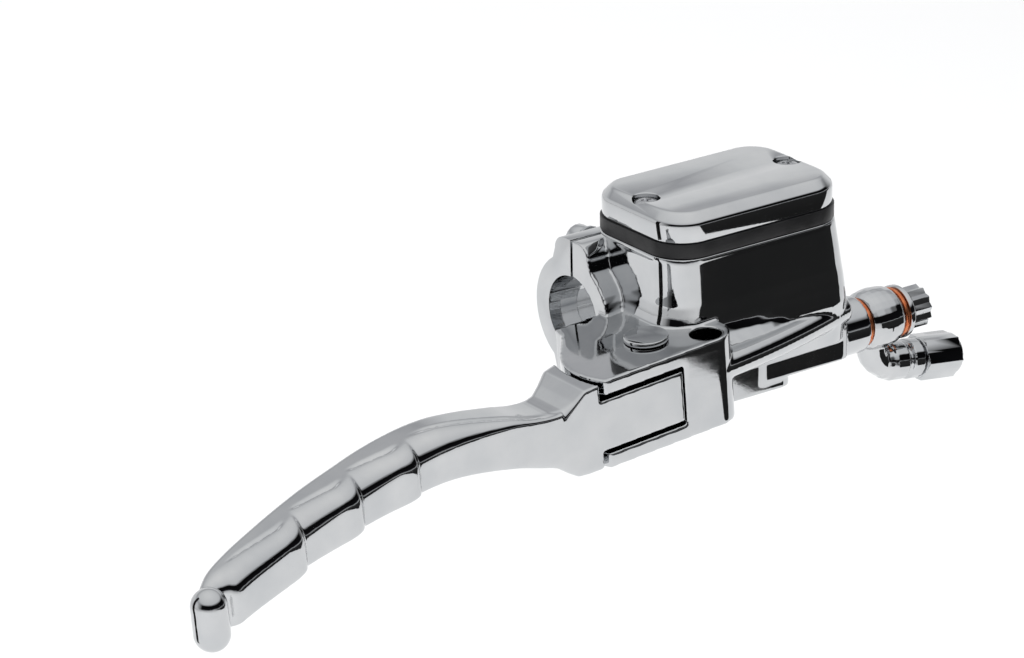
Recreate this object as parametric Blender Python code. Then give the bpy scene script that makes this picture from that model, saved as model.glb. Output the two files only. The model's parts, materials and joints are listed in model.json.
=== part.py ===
"""Front brake master cylinder for a 1 inch motorcycle handlebar, right-hand side.

The origin is on the handlebar's axis, in the middle of the clamp. +X runs along the bar towards the
middle of the motorcycle, +Y towards the rider and +Z up. The sizes below are in millimetres, and the
functions that make meshes turn them into metres.
"""

from math import asin, cos, hypot, pi, radians, sin, sqrt

import bmesh
import bpy
from mathutils import Matrix, Vector

MM = 0.001
GAP = 0.3

# Handlebar and clamp.
BAR_RADIUS = 12.7
CLAMP_BORE_RADIUS = BAR_RADIUS + 0.1
CLAMP_RING_RADIUS = 19.5
CLAMP_HALF_WIDTH = 13.0
CLAMP_SPLIT = 0.5
CLAMP_EAR_TOP = 25.2
CLAMP_EAR_DEPTH = 9.0
CLAMP_EAR_CORNER = 5.0
CLAMP_SCREW_HEIGHT = 18.9
CLAMP_SCREW_RADIUS = 3.0
CLAMP_SPOT_FACE = 7.4
CLAMP_THREAD_DEPTH = 11.0
BAR_CHANNEL_RADIUS = 14.2

# Lever plane: the perch slopes down outboard by this angle, and the pivot leans with it.
PERCH_TILT = 4.0
PIVOT = (-13.9, -42.0, -10.0)
PERCH_HALF = 14.8
SLOT_HALF = 9.9
SLOT_BACK = 19.6
TONGUE_HALF = 8.4
PERCH_FRONT = -15.8
PERCH_RIGHT = 25.2
PERCH_CORNER = 8.7
PERCH_BACK = 27.0
PERCH_ARC_CENTRE = (-6.8, -4.0)
PERCH_ARC_RADIUS = 24.05
PIN_RADIUS = 4.0
PIN_HEAD_RADIUS = 7.2
PIN_HEAD_HEIGHT = 1.5
PIN_TAIL = 2.6
MIRROR_HOLE = (16.5, -9.0)
MIRROR_HOLE_RADIUS = 5.2

# Cylinder bore and port.
BORE_Y = -28.0
BORE_Z = -15.0
BORE_RADIUS = 7.0
BARREL_RADIUS = 11.0
BORE_MOUTH = -5.0
BORE_END = 62.0
BARREL_END = 69.5
PORT_Z = -17.4
PORT_RADIUS = 5.0
PORT_BOSS_RADIUS = 9.6
PORT_FACE = 80.6
PORT_DEPTH = 15.0
OUTLET_RADIUS = 2.0

# Reservoir and its cover.
COVER_CENTRE = (29.7, -20.9)
COVER_HALF = (34.7, 23.2)
COVER_CORNER = 12.0
COVER_TOP = 42.5
COVER_CHAMFER = 3.0
COVER_BOTTOM = 33.3
BAND_PROUD = 0.6
LIP_TOP = 28.1
LIP_HEIGHT = 0.9
WELL_X = (6.0, 54.0)
WELL_Y = (-40.5, -5.2)
WELL_DEEP_BACK = -18.5
WELL_CORNER = 6.0
WELL_SHELF = 17.8
WELL_FLOOR = -1.5
WALL_BACK = -0.7
COVER_SCREW_SPREAD = 28.4
COVER_SCREW_RADIUS = 2.4
COUNTERBORE_RADIUS = 4.5
COUNTERBORE_DEPTH = 3.4
SIGHT_CENTRE = (30.0, 20.4)
SIGHT_RADIUS = 4.6

# Lever.
LEVER_ARM = 14.0
NOSE_RADIUS = 4.5
NOSE_TIP = 3.2
HUB_RADIUS = 10.2
HUB_CORNER_X = 1.7
LEVER_ARC_CENTRE = (8.0, -4.0)
LEVER_ARC_RADIUS = 39.9
BUSH_RADIUS = 6.0
TIP_CENTRE = (-181.5, -28.5)
TIP_RADIUS = 5.6
TIP_LOW = -16.6
TIP_HIGH = 3.4

# Stations along the lever: distance outboard of the pivot, front face, underside, height and depth.
BLADE_STATIONS = (
    (22.0, -15.8, -14.7, 28.9, 24.5),
    (30.0, -15.8, -14.7, 28.9, 24.0),
    (35.5, -15.8, -14.7, 28.5, 22.5),
    (39.5, -15.8, -14.3, 25.4, 20.5),
    (43.0, -15.8, -12.0, 21.4, 18.8),
    (47.0, -15.8, -8.9, 18.0, 17.6),
    (54.0, -15.8, -6.4, 16.6, 16.6),
    (62.0, -15.7, -3.8, 16.2, 16.0),
    (76.0, -15.2, -0.9, 16.0, 15.8),
    (86.5, -14.8, 0.1, 16.0, 15.8),
    (97.0, -14.6, -0.5, 16.0, 15.8),
    (109.0, -15.2, -1.9, 16.0, 15.6),
    (119.5, -16.8, -3.2, 16.0, 15.2),
    (133.0, -19.0, -5.0, 16.0, 14.6),
    (143.0, -21.2, -6.4, 16.0, 14.0),
    (155.0, -24.2, -8.6, 16.2, 13.4),
    (167.0, -27.2, -11.2, 16.6, 12.4),
    (176.0, -30.0, -13.6, 16.6, 11.6),
    (181.5, -32.4, -15.0, 16.4, 9.4),
)
NOTCHES = (97.0, 119.5, 143.0)
PAD_RISE = 2.6
PAD_LENGTH = 23.0

# Piston and its seals.
PISTON_REAR = -10.0
PISTON_LAND = BORE_RADIUS - 0.1
PISTON_FRONT = 35.0
CUP_RADIUS = BORE_RADIUS - GAP

# Banjo fitting.
WASHER_THICK = 1.5
EYE_WIDTH = 13.2
EYE_RADIUS = 10.3
EYE_START = PORT_FACE + WASHER_THICK + 2 * GAP
EYE_END = EYE_START + EYE_WIDTH
BOLT_FLANGE = EYE_END + WASHER_THICK + 2 * GAP
BOLT_RADIUS = 4.7
ELBOW_RADIUS = 5.2
TAIL_DROOP = 8.0

CHROME = (0.80, 0.80, 0.81)
STEEL = (0.62, 0.62, 0.63)
BLACK = (0.012, 0.012, 0.014)
COPPER = (0.80, 0.33, 0.15)
BRONZE = (0.55, 0.38, 0.17)
ALUMINIUM = (0.70, 0.71, 0.72)
AMBER = (0.75, 0.55, 0.25)


def clear_scene():
    for thing in list(bpy.data.objects):
        bpy.data.objects.remove(thing, do_unlink=True)


def material(name, colour, roughness, metallic):
    made = bpy.data.materials.new(name)
    made.use_nodes = True
    shader = made.node_tree.nodes["Principled BSDF"]
    shader.inputs["Base Color"].default_value = (*colour, 1.0)
    shader.inputs["Roughness"].default_value = roughness
    shader.inputs["Metallic"].default_value = metallic
    return made


def empty(name, place, tilt=0.0):
    made = bpy.data.objects.new(name, None)
    made.location = Vector(place) * MM
    made.rotation_euler = (0.0, radians(tilt), 0.0)
    bpy.context.scene.collection.objects.link(made)
    return made


def face_outwards(bm):
    bmesh.ops.recalc_face_normals(bm, faces=bm.faces[:])
    if bm.calc_volume(signed=True) < 0:
        bmesh.ops.reverse_faces(bm, faces=bm.faces[:])
    return bm


def add_object(name, bm, look=None, parent=None, smooth=30.0):
    """An object from a bmesh in millimetres."""
    bmesh.ops.scale(bm, vec=(MM, MM, MM), verts=bm.verts[:])
    mesh = bpy.data.meshes.new(name)
    bm.to_mesh(mesh)
    bm.free()
    mesh.shade_smooth()
    mesh.set_sharp_from_angle(angle=radians(smooth))
    made = bpy.data.objects.new(name, mesh)
    if look:
        mesh.materials.append(look)
    made.parent = parent
    bpy.context.scene.collection.objects.link(made)
    return made


def combine(target, tool, operation):
    """Adds a Boolean modifier and hides its tool from the render."""
    modifier = target.modifiers.new(tool.name, "BOOLEAN")
    modifier.operation = operation
    modifier.solver = "EXACT"
    modifier.object = tool
    tool.hide_render = True
    tool.display_type = "WIRE"


def cut(target, *tools):
    for tool in tools:
        combine(target, tool, "DIFFERENCE")


def join(target, *tools):
    for tool in tools:
        combine(target, tool, "UNION")


def arc(centre, radius, start, end, steps):
    """Points on a circle from one angle to another, in degrees."""
    turns = [radians(start + (end - start) * step / steps) for step in range(steps + 1)]
    return [(centre[0] + radius * cos(turn), centre[1] + radius * sin(turn)) for turn in turns]


def arcsine(value):
    """In degrees."""
    return asin(value) * 180 / pi


def rounded_box_outline(low, high, corner, steps=5):
    """A rectangle with round corners, anticlockwise."""
    points = []
    centres = (
        (high[0] - corner, high[1] - corner),
        (low[0] + corner, high[1] - corner),
        (low[0] + corner, low[1] + corner),
        (high[0] - corner, low[1] + corner),
    )
    for quarter, centre in enumerate(centres):
        points += arc(centre, corner, 90 * quarter, 90 * quarter + 90, steps)
    return points


def loft(rings):
    """A closed bmesh through rings of 3-D points, with flat ends."""
    bm = bmesh.new()
    rows = [[bm.verts.new(point) for point in ring] for ring in rings]
    for lower, upper in zip(rows, rows[1:]):
        for index, corner in enumerate(lower):
            following = (index + 1) % len(lower)
            bm.faces.new((corner, lower[following], upper[following], upper[index]))
    bm.faces.new(rows[0])
    bm.faces.new(rows[-1])
    bmesh.ops.triangulate(bm, faces=[face for face in bm.faces if len(face.verts) == 4])
    return face_outwards(bm)


def prism(outline, low, high, axis="Z"):
    """An outline extruded along an axis. Along X its points are (y, z), and along Y they are (x, z)."""
    place = {
        "X": lambda point, along: (along, point[0], point[1]),
        "Y": lambda point, along: (point[0], along, point[1]),
        "Z": lambda point, along: (point[0], point[1], along),
    }[axis]
    return loft([[place(point, along) for point in outline] for along in (low, high)])


def box(low, high):
    outline = [(low[0], low[1]), (high[0], low[1]), (high[0], high[1]), (low[0], high[1])]
    return prism(outline, low[2], high[2])


def turned(profile, axis="Z", centre=(0.0, 0.0, 0.0), steps=32):
    """A profile of (radius, station) spun about an axis.

    A profile with no point on the axis is closed into a ring. One that starts and ends at radius 0 is
    solid, and its ends are flat.
    """
    bm = bmesh.new()
    solid = profile[0][0] == 0.0
    stations = profile[1:-1] if solid else profile
    line = [bm.verts.new((radius, 0.0, station)) for radius, station in stations]
    edges = [bm.edges.new(pair) for pair in zip(line, line[1:])]
    if not solid:
        edges.append(bm.edges.new((line[-1], line[0])))
    bmesh.ops.spin(
        bm, geom=line + edges, axis=(0, 0, 1), cent=(0, 0, 0), steps=steps, angle=2 * pi, use_merge=True
    )
    bmesh.ops.remove_doubles(bm, verts=bm.verts[:], dist=0.0005)
    if solid:
        bmesh.ops.holes_fill(bm, edges=[edge for edge in bm.edges if edge.is_boundary])
    turn = {"X": Matrix.Rotation(pi / 2, 4, "Y"), "Y": Matrix.Rotation(-pi / 2, 4, "X"), "Z": Matrix()}
    bmesh.ops.transform(bm, matrix=Matrix.Translation(centre) @ turn[axis], verts=bm.verts[:])
    return face_outwards(bm)


def rod(radius, low, high, axis="Z", centre=(0.0, 0.0, 0.0), steps=32):
    """A plain cylinder; low and high are stations along its axis from the centre."""
    return turned([(0.0, low), (radius, low), (radius, high), (0.0, high)], axis, centre, steps)


def ring(inner, outer, low, high, axis="Z", centre=(0.0, 0.0, 0.0), steps=32):
    return turned([(inner, low), (outer, low), (outer, high), (inner, high)], axis, centre, steps)


def bore_line(station=0.0):
    return (station, BORE_Y, BORE_Z)


def port_line(station=0.0):
    return (station, BORE_Y, PORT_Z)


def cover_screw_places():
    return [(COVER_CENTRE[0] + side * COVER_SCREW_SPREAD, COVER_CENTRE[1]) for side in (-1, 1)]


def cover_outline(inset=0.0, steps=10):
    low = (COVER_CENTRE[0] - COVER_HALF[0] + inset, COVER_CENTRE[1] - COVER_HALF[1] + inset)
    high = (COVER_CENTRE[0] + COVER_HALF[0] - inset, COVER_CENTRE[1] + COVER_HALF[1] - inset)
    return rounded_box_outline(low, high, COVER_CORNER - inset, steps)


def well_outline(inset=0.0, back=WELL_Y[1]):
    low = (WELL_X[0] + inset, WELL_Y[0] + inset)
    high = (WELL_X[1] - inset, back - inset)
    return rounded_box_outline(low, high, WELL_CORNER - min(inset, WELL_CORNER / 2), 4)


def at_height(outline, height):
    return [(x, y, height) for x, y in outline]


# Main casting ---------------------------------------------------------------------------------------


def perch_outline():
    """The plan of the perch, from its front right corner clockwise round the pivot."""
    start = 180 + arcsine((PERCH_ARC_CENTRE[1] - PERCH_FRONT) / PERCH_ARC_RADIUS)
    front = arc((PERCH_RIGHT - PERCH_CORNER, PERCH_FRONT + PERCH_CORNER), PERCH_CORNER, 0, -90, 12)
    return [
        (PERCH_RIGHT, 6.0),
        *front,
        *arc(PERCH_ARC_CENTRE, PERCH_ARC_RADIUS, start, 145.5, 16),
        (-16.7, 22.5),
        (-15.7, PERCH_BACK),
        (30.0, PERCH_BACK),
        (34.0, 12.0),
    ]


def perch_block(lean):
    return add_object("perch_block", prism(perch_outline(), -PERCH_HALF, PERCH_HALF), parent=lean)


def slot_cutter(lean):
    """The lever's slot: open outboard, round the hub, and back to the mouth of the bore."""
    left = -45.0
    ahead = PERCH_FRONT - 5
    beside = HUB_CORNER_X + 0.8
    round_hub = HUB_RADIUS + 0.9
    reach = 8.75
    start = -90 + arcsine(beside / round_hub)
    outline = [(left, ahead), (beside, ahead)]
    outline += arc((0, 0), round_hub, start, 90 - arcsine(reach / round_hub), 14)
    outline += [(reach, SLOT_BACK), (left, SLOT_BACK)]
    return add_object("slot", prism(outline, -SLOT_HALF, SLOT_HALF), parent=lean)


def clamp_outline(side):
    """Half of the split clamp in the (y, z) plane; side is -1 for the front half, 1 for the back one.

    The front half is left solid, because the bar's bore is cut out of the whole casting.
    """
    ear_meets_ring = 10.2
    angle = arcsine(ear_meets_ring / CLAMP_RING_RADIUS)
    corner = (CLAMP_EAR_DEPTH - CLAMP_EAR_CORNER, CLAMP_EAR_TOP - CLAMP_EAR_CORNER)
    upper = [(CLAMP_SPLIT, CLAMP_EAR_TOP), *arc(corner, CLAMP_EAR_CORNER, 90, 0, 6)]
    outer = upper + arc((0, 0), CLAMP_RING_RADIUS, 90 - angle, 0, 9)
    start = 90 - arcsine(CLAMP_SPLIT / CLAMP_BORE_RADIUS)
    inner = arc((0, 0), CLAMP_BORE_RADIUS, 0, start, 12)
    half = outer[:-1] + [(y, -z) for y, z in reversed(outer)]
    bore = [(y, -z) for y, z in reversed(inner)] + inner[1:]
    return [(side * y, z) for y, z in (half if side < 0 else half + bore)]


def bar_channel():
    """What the bar takes from the casting beside the clamp, with the space behind and below it."""
    beside = CLAMP_HALF_WIDTH + GAP
    return [
        add_object("channel_round", rod(BAR_CHANNEL_RADIUS, beside, 120, "X", steps=48)),
        add_object("channel_back", box((beside, -14.6, -45), (120, 30, 0.5))),
    ]


def reservoir_shell():
    """The outside of the tub: flared at the foot, with draft towards the right and the front."""
    # Each level: height, left side, right side, front.
    levels = (
        (-15.0, -1.5, 69.6, -43.0),
        (0.0, -7.0, 68.6, -45.6),
        (4.4, -7.4, 68.2, -45.4),
        (6.0, -6.6, 68.0, -45.3),
        (8.4, -5.8, 67.7, -45.2),
        (12.0, -5.3, 67.1, -45.0),
        (17.0, -5.2, 66.3, -44.9),
        (LIP_TOP - LIP_HEIGHT, -5.2, 64.6, -44.6),
    )
    corner = 11.0
    rings = []
    for height, left, right, front in levels:
        outline = rounded_box_outline((left, front), (right, WALL_BACK), corner, 10)
        rings.append(at_height(outline, height))
    return add_object("reservoir_shell", loft(rings))


def reservoir_lip():
    """The bright flange that the rubber rim rests on."""
    outline = cover_outline(-0.7)
    lip = loft([at_height(outline, LIP_TOP - LIP_HEIGHT - 0.4), at_height(outline, LIP_TOP)])
    return add_object("reservoir_lip", lip)


def side_web():
    """The web in front of the barrel, from the mirror boss to the far corner, with a round front rim."""
    rim_z = -6.0
    rim_radius = 4.6
    back = -33.0
    start, end = 6.0, 68.5
    steps = 12
    rings = []
    for step in range(steps + 1):
        share = step / steps
        station = start + (end - start) * share
        middle = -52.6 + 8.6 * share + 6.6 * share**2
        foot = max(-44.8, middle + 2.0)
        hollow = foot + 0.35 * (middle - foot)
        ring_points = [(back, 8.0), (foot, 7.0), (foot - 0.6, 4.2), (hollow, 1.2)]
        ring_points += arc((middle, rim_z), rim_radius, 90, 270, 12)
        ring_points += [(back, rim_z - rim_radius - 1.0)]
        rings.append([(station, y, z) for y, z in ring_points])
    return add_object("side_web", loft(rings))


def lower_block():
    """The deeper part of the barrel's underside, and the pad under the far end."""
    pads = {
        "block_deep": ((14.0, -40.0), (46.5, -18.0), 5.0, -26.4),
        "block_shallow": ((30.0, -40.5), (69.8, -18.0), 4.0, -22.6),
    }
    inside_barrel = -12.0
    blocks = []
    for name, (low, high, corner, underside) in pads.items():
        outline = rounded_box_outline(low, high, corner, 3)
        blocks.append(add_object(name, prism(outline, underside, inside_barrel)))
    return blocks


def reservoir_well():
    """The hollow for the fluid: deep in front of the bar, shallow above it."""
    return [
        add_object("well_deep", prism(well_outline(back=WELL_DEEP_BACK), WELL_FLOOR, 60)),
        add_object("well_shelf", prism(well_outline(), WELL_SHELF, 60)),
    ]


def casting_holes(lean):
    """Bores, threads and ports of the casting."""
    mouth = BORE_MOUTH - 12
    tools = {
        "bore": rod(BORE_RADIUS, mouth, BORE_END, "X", bore_line(), 28),
        "bore_groove": rod(BORE_RADIUS + 0.6, -3.4, -1.7, "X", bore_line(), 28),
        "outlet": rod(OUTLET_RADIUS, BORE_END - 3, PORT_FACE - PORT_DEPTH + 2, "X", port_line(), 20),
        "port": rod(PORT_RADIUS, PORT_FACE - PORT_DEPTH, PORT_FACE + 5, "X", port_line()),
        "inlet_port": rod(1.5, BORE_Z, WELL_FLOOR + 3, "Z", (25.0, BORE_Y, 0), 16),
        "relief_port": rod(0.6, BORE_Z, WELL_FLOOR + 3, "Z", (40.6, BORE_Y, 0), 10),
        "sight_hole": rod(SIGHT_RADIUS, -12, 6, "Y", (SIGHT_CENTRE[0], 0, SIGHT_CENTRE[1]), 28),
        "sight_seat": rod(SIGHT_RADIUS + 1.2, -3.6, 6, "Y", (SIGHT_CENTRE[0], 0, SIGHT_CENTRE[1]), 28),
    }
    for side in (-1, 1):
        centre = (0, 0, side * CLAMP_SCREW_HEIGHT)
        thread = rod(CLAMP_SCREW_RADIUS + GAP, -CLAMP_THREAD_DEPTH, 12, "Y", centre, 20)
        tools[f"clamp_thread_{side}"] = thread
    for number, place in enumerate(cover_screw_places()):
        tools[f"cover_thread_{number}"] = rod(COVER_SCREW_RADIUS + GAP, 14, 40, "Z", (*place, 0), 16)
    holes = [add_object(name, bm) for name, bm in tools.items()]
    leaning = {
        "pin_hole": rod(PIN_RADIUS + GAP, -30, 30, steps=28),
        "mirror_hole": rod(MIRROR_HOLE_RADIUS, -30, 30, "Z", (*MIRROR_HOLE, 0), 28),
    }
    return holes + [add_object(name, bm, parent=lean) for name, bm in leaning.items()]


def cylinder_body(look, lean):
    body = add_object("cylinder_body", rod(BARREL_RADIUS, BORE_MOUTH, BARREL_END, "X", bore_line(), 56), look)
    boss = add_object("port_boss", rod(PORT_BOSS_RADIUS, 60, PORT_FACE, "X", port_line(), 48))
    front_clamp = prism(clamp_outline(-1), -CLAMP_HALF_WIDTH, CLAMP_HALF_WIDTH, "X")
    join(body, perch_block(lean), reservoir_shell(), side_web(), *lower_block(), boss)
    cut(body, *bar_channel())
    join(body, add_object("clamp_front", front_clamp), reservoir_lip())
    bar = add_object("bar_bore", rod(CLAMP_BORE_RADIUS, -40, 40, "X", steps=48))
    behind = add_object("clamp_split", box((-30, -CLAMP_SPLIT, -40), (CLAMP_HALF_WIDTH + 0.2, 30, 25.7)))
    cut(body, bar, behind, slot_cutter(lean), *reservoir_well(), *casting_holes(lean))
    return body


# Clamp ----------------------------------------------------------------------------------------------


def handlebar_clamp(look):
    bm = prism(clamp_outline(1), -CLAMP_HALF_WIDTH, CLAMP_HALF_WIDTH, "X")
    clamp = add_object("handlebar_clamp", bm, look)
    for side in (-1, 1):
        centre = (0, 0, side * CLAMP_SCREW_HEIGHT)
        hole = rod(CLAMP_SCREW_RADIUS + GAP, -5, 25, "Y", centre, 20)
        face = rod(6.4, CLAMP_SPOT_FACE, 25, "Y", centre, 24)
        cut(clamp, add_object(f"clamp_hole_{side}", hole), add_object(f"clamp_spot_face_{side}", face))


def clamp_fasteners(screw_look, washer_look):
    """Socket screws through the back half into the casting, each on a washer."""
    under = CLAMP_SPOT_FACE + GAP
    thick = 1.2
    head = under + thick + GAP
    socket = 2.7
    profile = [
        (0.0, -CLAMP_THREAD_DEPTH + 1),
        (CLAMP_SCREW_RADIUS, -CLAMP_THREAD_DEPTH + 1),
        (CLAMP_SCREW_RADIUS, head),
        (4.9, head),
        (4.9, head + 5.4),
        (4.4, head + 6),
        (socket, head + 6),
        (socket, head + 3),
        (0.0, head + 3),
    ]
    for where, side in (("lower", -1), ("upper", 1)):
        centre = (0, 0, side * CLAMP_SCREW_HEIGHT)
        add_object(f"clamp_screw_{where}", turned(profile, "Y", centre, 18), screw_look)
        washer = ring(CLAMP_SCREW_RADIUS + GAP, 5.8, under, under + thick, "Y", centre, 18)
        add_object(f"clamp_washer_{where}", washer, washer_look)


# Reservoir parts ------------------------------------------------------------------------------------


def reservoir_cover(look):
    levels = ((COVER_BOTTOM, 0.0), (COVER_TOP - COVER_CHAMFER, 0.0), (COVER_TOP, COVER_CHAMFER))
    cover = add_object("reservoir_cover", loft([at_height(cover_outline(i), h) for h, i in levels]), look)
    recess = prism(well_outline(), COVER_BOTTOM - 5, COVER_TOP - 4.4)
    cut(cover, add_object("cover_recess", recess))
    for number, place in enumerate(cover_screw_places()):
        hole = rod(COVER_SCREW_RADIUS + GAP, 25, 60, "Z", (*place, 0), 16)
        seat = rod(COUNTERBORE_RADIUS, COVER_TOP - COUNTERBORE_DEPTH, 60, "Z", (*place, 0), 28)
        cut(cover, add_object(f"cover_hole_{number}", hole), add_object(f"cover_seat_{number}", seat))


def cover_screws(look):
    """Two cross-recessed screws, sunk in the cover."""
    under = COVER_TOP - COUNTERBORE_DEPTH + GAP
    profile = [
        (0.0, 15.0),
        (COVER_SCREW_RADIUS, 15.0),
        (COVER_SCREW_RADIUS, under),
        (4.1, under),
        (4.1, under + 1.4),
        (3.0, under + 2.4),
        (0.0, under + 2.4),
    ]
    for where, place in zip(("outboard", "inboard"), cover_screw_places()):
        screw = add_object(f"cover_screw_{where}", turned(profile, "Z", (*place, 0), 20), look)
        for turn, size in enumerate(((2.3, 0.45), (0.45, 2.3))):
            low = (place[0] - size[0], place[1] - size[1], under + 0.9 + 0.1 * turn)
            high = (place[0] + size[0], place[1] + size[1], under + 4 + turn)
            cut(screw, add_object(f"cross_{where}_{turn}", box(low, high)))


def diaphragm(look):
    """The rubber diaphragm: its thick rim shows as a band, and its tray hangs in the well."""
    rim = rounded_box_outline(
        (COVER_CENTRE[0] - COVER_HALF[0] - BAND_PROUD, COVER_CENTRE[1] - COVER_HALF[1] - BAND_PROUD),
        (COVER_CENTRE[0] + COVER_HALF[0] + BAND_PROUD, COVER_CENTRE[1] + COVER_HALF[1] + BAND_PROUD),
        COVER_CORNER + BAND_PROUD,
        10,
    )
    low = LIP_TOP + GAP
    high = COVER_BOTTOM - GAP
    tray_floor = 19.6
    band = add_object("reservoir_diaphragm", prism(rim, low, high), look)
    join(band, add_object("tray", prism(well_outline(0.8), tray_floor, high - 1)))
    cut(band, add_object("tray_hollow", prism(well_outline(2.4), tray_floor + 1.6, high + 5)))
    for number, place in enumerate(cover_screw_places()):
        hole = rod(COVER_SCREW_RADIUS + GAP, 25, 60, "Z", (*place, 0), 16)
        cut(band, add_object(f"band_hole_{number}", hole))


def diaphragm_plate(look):
    """The stiff plate between the cover and the diaphragm, with its vent."""
    low = COVER_BOTTOM
    plate = add_object("diaphragm_plate", prism(well_outline(0.4), low, low + 1.6), look)
    vent = rod(2.2, 25, 60, "Z", ((WELL_X[0] + WELL_X[1]) / 2, (WELL_Y[0] + WELL_Y[1]) / 2, 0), 16)
    cut(plate, add_object("plate_vent", vent))


def splash_plate(look):
    """The shield over the ports in the floor of the well, on two short legs."""
    low = WELL_FLOOR + GAP
    shield = add_object("splash_plate", box((20.0, -34.5, low + 2.2), (46.0, -21.5, low + 3.0)), look)
    for number, station in enumerate((20.0, 45.2)):
        leg = box((station, -34.5, low), (station + 0.8, -21.5, low + 2.6))
        join(shield, add_object(f"shield_leg_{number}", leg))


def sight_glass(glass_look, seal_look):
    centre = (SIGHT_CENTRE[0], 0, SIGHT_CENTRE[1])
    profile = [
        (0.0, -5.0),
        (SIGHT_RADIUS - 0.5, -5.0),
        (SIGHT_RADIUS - 0.5, -2.2),
        (SIGHT_RADIUS + 0.8, -2.2),
        (SIGHT_RADIUS + 0.8, -1.0),
        (SIGHT_RADIUS, -0.5),
        (0.0, -0.5),
    ]
    add_object("sight_glass", turned(profile, "Y", centre, 28), glass_look)
    seal = ring(SIGHT_RADIUS - 0.1, SIGHT_RADIUS + 0.8, -3.3, -2.5, "Y", centre, 28)
    add_object("sight_glass_seal", seal, seal_look)


# Lever ----------------------------------------------------------------------------------------------

def blade_at(distance):
    """The section's sizes at a distance outboard, by a smooth curve through the stations."""
    rows = BLADE_STATIONS
    index = max(i for i in range(len(rows) - 1) if rows[i][0] <= distance)
    low, high = rows[index], rows[index + 1]
    before = rows[index - 1] if index else low
    after = rows[index + 2] if index + 2 < len(rows) else high
    span = high[0] - low[0]
    t = (distance - low[0]) / span
    sizes = []
    for column in range(1, 5):
        start = span * (high[column] - before[column]) / (high[0] - before[0])
        end = span * (after[column] - low[column]) / (after[0] - low[0])
        value = (2 * t**3 - 3 * t**2 + 1) * low[column] + (t**3 - 2 * t**2 + t) * start
        value += (-2 * t**3 + 3 * t**2) * high[column] + (t**3 - t**2) * end
        sizes.append(value)
    return sizes


def pad_step(distance):
    """How far a finger pad stands forward of the blade: a quick rise past each notch, then a slow fall."""
    past = [distance - notch for notch in NOTCHES if distance > notch]
    if not past:
        return 0.0
    share = min(1.0, min(past) / PAD_LENGTH)
    rise = min(1.0, min(past) / 4.0)
    return PAD_RISE * (1 - (1 - rise) ** 2) * (1 - share)


def blade_section(distance):
    front, low, height, depth = blade_at(distance)
    front -= pad_step(distance)
    depth += pad_step(distance)
    top = low + height
    back = front + depth
    crown = min(5.5, depth * 0.36) * min(1.0, max(0.12, (distance - 36.0) / 14.0))
    heel = 1.6
    points = arc((front + crown, top - crown), crown, 180, 90, 8)
    points += arc((back - heel, top - heel), heel, 90, 0, 2)
    points += arc((back - heel, low + heel), heel, 0, -90, 2)
    points += arc((front + heel, low + heel), heel, -90, -180, 2)
    return [(-distance, y, z) for y, z in points]


def blade():
    stations = {row[0] for row in BLADE_STATIONS}
    stations |= {51.0, 58.0, 69.0, 92.0, 103.0, 114.0, 126.0, 149.0, 161.0}
    for notch in NOTCHES:
        stations |= {notch + 1.2, notch + 2.6, notch + 4.2}
    return loft([blade_section(distance) for distance in sorted(stations)])


def brake_lever(look, pivot):
    lever = add_object("brake_lever", blade(), look, pivot)
    tip_half = (TIP_HIGH - TIP_LOW) / 2
    tip = [(0.0, -tip_half), (TIP_RADIUS * 0.3, -tip_half), (TIP_RADIUS * 0.8, -tip_half + 1.6)]
    tip += [(TIP_RADIUS, -tip_half + 4.0), (TIP_RADIUS, tip_half - 4.6), (TIP_RADIUS * 0.78, tip_half - 1.8)]
    tip += [(TIP_RADIUS * 0.3, tip_half), (0.0, tip_half)]
    capsule = turned(tip, "Z", (*TIP_CENTRE, (TIP_HIGH + TIP_LOW) / 2), 28)
    hub_front = prism(
        [(-27.0, PERCH_FRONT), (HUB_CORNER_X, PERCH_FRONT), (HUB_CORNER_X, -6.0), (-2.0, 6.0), (-27.0, 8.4)],
        -TONGUE_HALF,
        TONGUE_HALF,
    )
    nose_centre = (NOSE_TIP - NOSE_RADIUS, LEVER_ARM)
    within = TONGUE_HALF - 0.01
    nose_block = prism([(-9.0, 2.0), (3.4, 2.0), (NOSE_TIP - 0.4, LEVER_ARM), (-5.5, LEVER_ARM)], -8.3, 8.3)
    join(
        lever,
        add_object("lever_tip", capsule, parent=pivot),
        add_object("lever_tongue", hub_front, parent=pivot),
        add_object("lever_hub", rod(HUB_RADIUS, -within, within, steps=56), parent=pivot),
        add_object("lever_nose", rod(NOSE_RADIUS, -8.2, 8.2, "Z", (*nose_centre, 0), 24), parent=pivot),
        add_object("lever_nose_block", nose_block, parent=pivot),
    )
    for side in (-1, 1):
        low, high = sorted((side * TONGUE_HALF, side * 30.0))
        over = rod(LEVER_ARC_RADIUS, low, high, "Z", (*LEVER_ARC_CENTRE, 0), 120)
        cut(lever, add_object(f"lever_arc_{side}", over, parent=pivot))
    cut(lever, add_object("lever_bore", rod(BUSH_RADIUS + GAP, -20, 20, steps=28), parent=pivot))


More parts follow.
